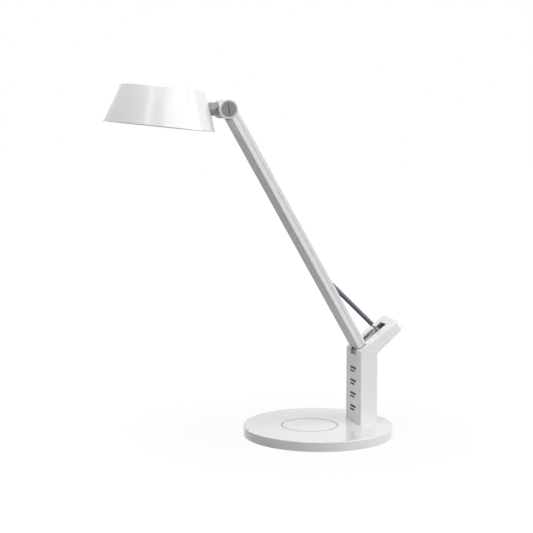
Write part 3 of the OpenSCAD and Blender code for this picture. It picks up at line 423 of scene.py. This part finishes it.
bare("heat_sink", satin_silver, "satin_silver")
bare("led_board", panel_white, "circuit_board")
chip_yellow = finish("chip_yellow", (0.80, 0.62, 0.16), (0.70, 0.52, 0.10), 1500, (0.4, 0.5))
bare("led_chips", chip_yellow, "light_chip")
bare("reflector_ring", panel_white, "white_plastic")
opal = finish("opal", (0.86, 0.86, 0.84), (0.82, 0.82, 0.80), 900, (0.35, 0.5), relief=8e-6,
              Subsurface_Weight=0.3, Subsurface_Scale=0.004)
disc = eased([[0, OPAL_IN], [OPAL_R, OPAL_IN], [OPAL_R, OPAL_IN + OPAL_T], [0, OPAL_IN + OPAL_T]], OPAL_EASE)
skin("diffuser_fine", turned(disc, 192), shade_place, opal, "head", "opal", "diffuser")
refine("diffuser_ring", panel_white)
bare("driver_board", board_green, "circuit_board")
bare("shade_screws", sheet_steel, "steel")


# ---------------------------------------------------------------- Floor and light
# A floor that looks white and bounces little light. Near the object its glow gives way to the lit floor,
# which carries the object's real shadow; that fade also darkens the floor there a little by itself, as
# painted shade.
# Wide lamps stand overhead, in front and at the right, and two narrow ones behind and where the shade shows
# its stripe.

FLOOR_HALF, FLOOR_TONE, FLOOR_ROUGH, FLOOR_GLOW = 6, 0.38, 0.9, 1.1
FADE_FROM, FADE_TO, NEAR_SHARE, FAR_SHARE = 0.15, 0.8, 0.84, 1.0
ROOM_LIGHT, ROOM_SEEN = 0.10, 1.0
LOOK_AT, LAMP_AWAY = np.array([0, -0.05, 0.25]), 2.0


def looked_at(tree):
    """Value that is 1 for rays from the camera, off gloss or through glass, and 0 for those that only gather
    light: the largest of the light path's Is Camera Ray, Is Glossy Ray and Is Transmission Ray."""
    seen = tree.nodes.new("ShaderNodeLightPath")
    largest = seen.outputs["Is Camera Ray"]
    for kind in ("Is Glossy Ray", "Is Transmission Ray"):
        either = tree.nodes.new("ShaderNodeMath")
        either.operation = "MAXIMUM"
        tree.links.new(largest, either.inputs[0])
        tree.links.new(seen.outputs[kind], either.inputs[1])
        largest = either.outputs[0]
    return largest


def blended(tree, share, plain, bright, output):
    """The node `output` shows (1 - share) of the shader `plain` and `share` of the shader `bright`."""
    blend = tree.nodes.new("ShaderNodeMixShader")
    tree.links.new(share, blend.inputs["Fac"])
    tree.links.new(plain.outputs[0], blend.inputs[1])
    tree.links.new(bright.outputs[0], blend.inputs[2])
    tree.links.new(blend.outputs[0], tree.nodes[output].inputs["Surface"])


floor_mesh = bpy.data.meshes.new("floor")
floor_mesh.from_pydata([(-FLOOR_HALF, -FLOOR_HALF, 0), (FLOOR_HALF, -FLOOR_HALF, 0),
                        (FLOOR_HALF, FLOOR_HALF, 0), (-FLOOR_HALF, FLOOR_HALF, 0)], [], [(0, 1, 2, 3)])
floor = bpy.data.objects.new("floor", floor_mesh)
bpy.context.scene.collection.objects.link(floor)
pale = bpy.data.materials.new("pale_floor")
pale.use_nodes = True
tree = pale.node_tree
cloth = tree.nodes["Principled BSDF"]
cloth.inputs["Base Color"].default_value = (FLOOR_TONE, FLOOR_TONE, FLOOR_TONE, 1)
cloth.inputs["Roughness"].default_value = FLOOR_ROUGH
cloth.inputs["Specular IOR Level"].default_value = 0.0
glow = tree.nodes.new("ShaderNodeEmission")
glow.inputs["Strength"].default_value = FLOOR_GLOW
place = tree.nodes.new("ShaderNodeTexCoord")
away = tree.nodes.new("ShaderNodeVectorMath")
away.operation = "LENGTH"
# Glow share by distance from the object: lower near it, so the lit floor and its real shadow show there, and
# the floor is painted a little darker there as well.
fade = tree.nodes.new("ShaderNodeMapRange")
fade.inputs["From Min"].default_value, fade.inputs["From Max"].default_value = FADE_FROM, FADE_TO
fade.inputs["To Min"].default_value, fade.inputs["To Max"].default_value = NEAR_SHARE, FAR_SHARE
share = tree.nodes.new("ShaderNodeMath")
share.operation = "MULTIPLY"
tree.links.new(place.outputs["Object"], away.inputs[0])
tree.links.new(away.outputs["Value"], fade.inputs["Value"])
tree.links.new(looked_at(tree), share.inputs[0])
tree.links.new(fade.outputs["Result"], share.inputs[1])
blended(tree, share.outputs[0], cloth, glow, "Material Output")
pale.cycles.emission_sampling = "NONE"
floor_mesh.materials.append(pale)

world = bpy.data.worlds.new("studio")
world.use_nodes = True
bpy.context.scene.world = world
room = world.node_tree
dim = room.nodes["Background"]
white = room.nodes.new("ShaderNodeBackground")
for background, strength in ((dim, ROOM_LIGHT), (white, ROOM_SEEN)):
    background.inputs["Color"].default_value = (1, 1, 1, 1)
    background.inputs["Strength"].default_value = strength
blended(room, looked_at(room), dim, white, "World Output")


def softbox(name, turn, rise, width, tall, watts):
    """Rectangular lamp that faces LOOK_AT from LAMP_AWAY metres, at LOOK_AT + LAMP_AWAY (cos b cos a,
    cos b sin a, sin b): b is its `rise` above the level, and a its `turn` from the camera's side of the
    object towards the right of the picture, both in degrees."""
    a, b = math.radians(EYE_TURN - 90 + turn), math.radians(rise)
    away = np.array([math.cos(b) * math.cos(a), math.cos(b) * math.sin(a), math.sin(b)])
    side = np.array([-math.sin(a), math.cos(a), 0])
    light = bpy.data.lights.new(name, "AREA")
    light.shape, light.size, light.size_y, light.energy = "RECTANGLE", width, tall, watts
    lamp = bpy.data.objects.new(name, light)
    lamp.matrix_world = set_at(side, np.cross(away, side), away, LOOK_AT + LAMP_AWAY * away)
    bpy.context.scene.collection.objects.link(lamp)


softbox("high_lamp", -20, 72, 1.2, 1.2, 17.5)
softbox("high_left_lamp", -80, 68, 1.0, 1.0, 10)
softbox("stripe_lamp", -20, 33, 0.4, 1.2, 3)
softbox("front_lamp", 46, 27, 1.8, 1.5, 16)
softbox("right_lamp", 84, 14, 1.2, 1.3, 19.5)
softbox("rear_lamp", -140, 28, 0.5, 1.2, 8)
